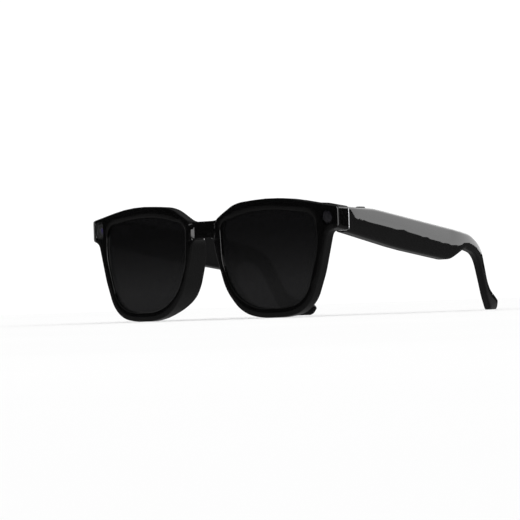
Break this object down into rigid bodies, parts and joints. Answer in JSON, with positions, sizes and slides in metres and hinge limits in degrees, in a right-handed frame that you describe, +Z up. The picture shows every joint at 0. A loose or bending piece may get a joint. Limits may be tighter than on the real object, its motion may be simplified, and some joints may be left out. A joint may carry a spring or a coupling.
{
  "type": "smart glasses",
  "caption": "Wide gloss black smart glasses with dark lenses, folding temples that house electronics, a press button, a sliding switch and a camera stack that draws out of one end piece.",
  "frame": {"origin": "on the surface the glasses stand on, under the middle of their bounding box", "axes": "+X to the wearer's left, across the front; +Y from the front back along the temples; +Z up"},
  "size_m": [0.15, 0.1406, 0.0524],
  "materials": {
    "front_plastic": "gloss black",
    "temple_plastic": "gloss black",
    "lid_plastic": "fine matte black",
    "dark_lens": "dark smoke tint, gloss",
    "clear_cover": "clear, gloss",
    "camera_glass": "coated camera glass",
    "barrel_coating": "violet coated lens barrel",
    "holder_plastic": "matte black",
    "gasket": "soft yellow-green",
    "seam_metal": "polished",
    "hinge_steel": "satin",
    "gold": "gold plated",
    "board": "solder mask green",
    "flex": "amber polyimide",
    "battery_foil": "satin foil",
    "speaker_case": "matte dark grey",
    "mesh_metal": "satin black",
    "spring_steel": "satin",
    "light_guide": "milky light guide"
  },
  "bodies": {
    "front": {"front_frame": "front_plastic", "brow_cover": "lid_plastic", "brow_flex": "flex", "bridge_microphone": "hinge_steel", "charging_contacts": "gold", "lens_left": "dark_lens", "lens_right": "dark_lens", "end_cover_left": "lid_plastic", "end_cover_right": "lid_plastic", "seam_ring_left": "seam_metal", "seam_ring_right": "seam_metal", "left_camera_window": "camera_glass", "left_camera_barrel": "barrel_coating", "left_camera_holder": "holder_plastic", "left_sensor_board": "board", "right_sensor_board": "board", "hinge_front_left": "hinge_steel", "hinge_front_right": "hinge_steel", "hinge_pin_left": "hinge_steel", "hinge_pin_right": "hinge_steel", "front_hinge_screws": "hinge_steel"},
    "temple_left": {"temple_shell_left": "temple_plastic", "temple_lid_left": "lid_plastic", "hinge_rear_left": "hinge_steel", "temple_screws_left": "hinge_steel", "battery": "battery_foil", "speaker_left": "speaker_case", "speaker_grille_left": "mesh_metal", "button_board": "board", "button_spring": "spring_steel", "tip_core_left": "hinge_steel"},
    "temple_right": {"temple_shell_right": "temple_plastic", "temple_lid_right": "lid_plastic", "hinge_rear_right": "hinge_steel", "temple_screws_right": "hinge_steel", "main_board": "board", "touch_strip": "flex", "speaker_right": "speaker_case", "speaker_grille_right": "mesh_metal", "status_light": "light_guide", "tip_core_right": "hinge_steel"},
    "capture_button": {"capture_button": "temple_plastic"},
    "power_switch": {"power_switch": "lid_plastic"},
    "camera_outer_cover": {"camera_outer_cover": "clear_cover"},
    "camera_inner_cover": {"camera_inner_cover": "clear_cover"},
    "camera_aperture_ring": {"camera_aperture_ring": "clear_cover"},
    "camera_lens_barrel": {"camera_lens_barrel": "barrel_coating"},
    "camera_retaining_ring": {"camera_retaining_ring": "clear_cover"},
    "camera_holder": {"camera_holder": "holder_plastic"},
    "camera_gasket": {"camera_gasket": "gasket"}
  },
  "joints": [
    {"name": "temple_left_fold", "type": "hinge", "parent": "front", "child": "temple_left", "pos_m": [0.0651, -0.05583, 0.0418], "axis": [0, 0, 1], "range_deg": [0, 87]},
    {"name": "temple_right_fold", "type": "hinge", "parent": "front", "child": "temple_right", "pos_m": [-0.0651, -0.05583, 0.0418], "axis": [0, 0, -1], "range_deg": [0, 75]},
    {"name": "capture_press", "type": "slide", "parent": "temple_left", "child": "capture_button", "axis": [0, 0, -1], "range_m": [0, 0.0005], "stiffness_N_per_m": 1500},
    {"name": "power_slide", "type": "slide", "parent": "temple_left", "child": "power_switch", "axis": [-0.0444, 0.9869, -0.1551], "range_m": [0, 0.002]},
    {"name": "outer_cover_out", "type": "slide", "parent": "front", "child": "camera_outer_cover", "axis": [0, -0.9962, -0.0872], "range_m": [0, 0.038]},
    {"name": "inner_cover_out", "type": "slide", "parent": "front", "child": "camera_inner_cover", "axis": [0, -0.9962, -0.0872], "range_m": [0, 0.0325]},
    {"name": "aperture_ring_out", "type": "slide", "parent": "front", "child": "camera_aperture_ring", "axis": [0, -0.9962, -0.0872], "range_m": [0, 0.0265]},
    {"name": "lens_barrel_out", "type": "slide", "parent": "front", "child": "camera_lens_barrel", "axis": [0, -0.9962, -0.0872], "range_m": [0, 0.0225]},
    {"name": "retaining_ring_out", "type": "slide", "parent": "front", "child": "camera_retaining_ring", "axis": [0, -0.9962, -0.0872], "range_m": [0, 0.0185]},
    {"name": "holder_out", "type": "slide", "parent": "front", "child": "camera_holder", "axis": [0, -0.9962, -0.0872], "range_m": [0, 0.0135]},
    {"name": "gasket_out", "type": "slide", "parent": "front", "child": "camera_gasket", "axis": [0, -0.9962, -0.0872], "range_m": [0, 0.0075]}
  ],
  "couplings": [
    {"joint": "inner_cover_out", "follows": "outer_cover_out", "ratio": 0.84211},
    {"joint": "aperture_ring_out", "follows": "outer_cover_out", "ratio": 0.68421},
    {"joint": "lens_barrel_out", "follows": "outer_cover_out", "ratio": 0.57895},
    {"joint": "retaining_ring_out", "follows": "outer_cover_out", "ratio": 0.47368},
    {"joint": "holder_out", "follows": "outer_cover_out", "ratio": 0.34211},
    {"joint": "gasket_out", "follows": "outer_cover_out", "ratio": 0.18421}
  ]
}
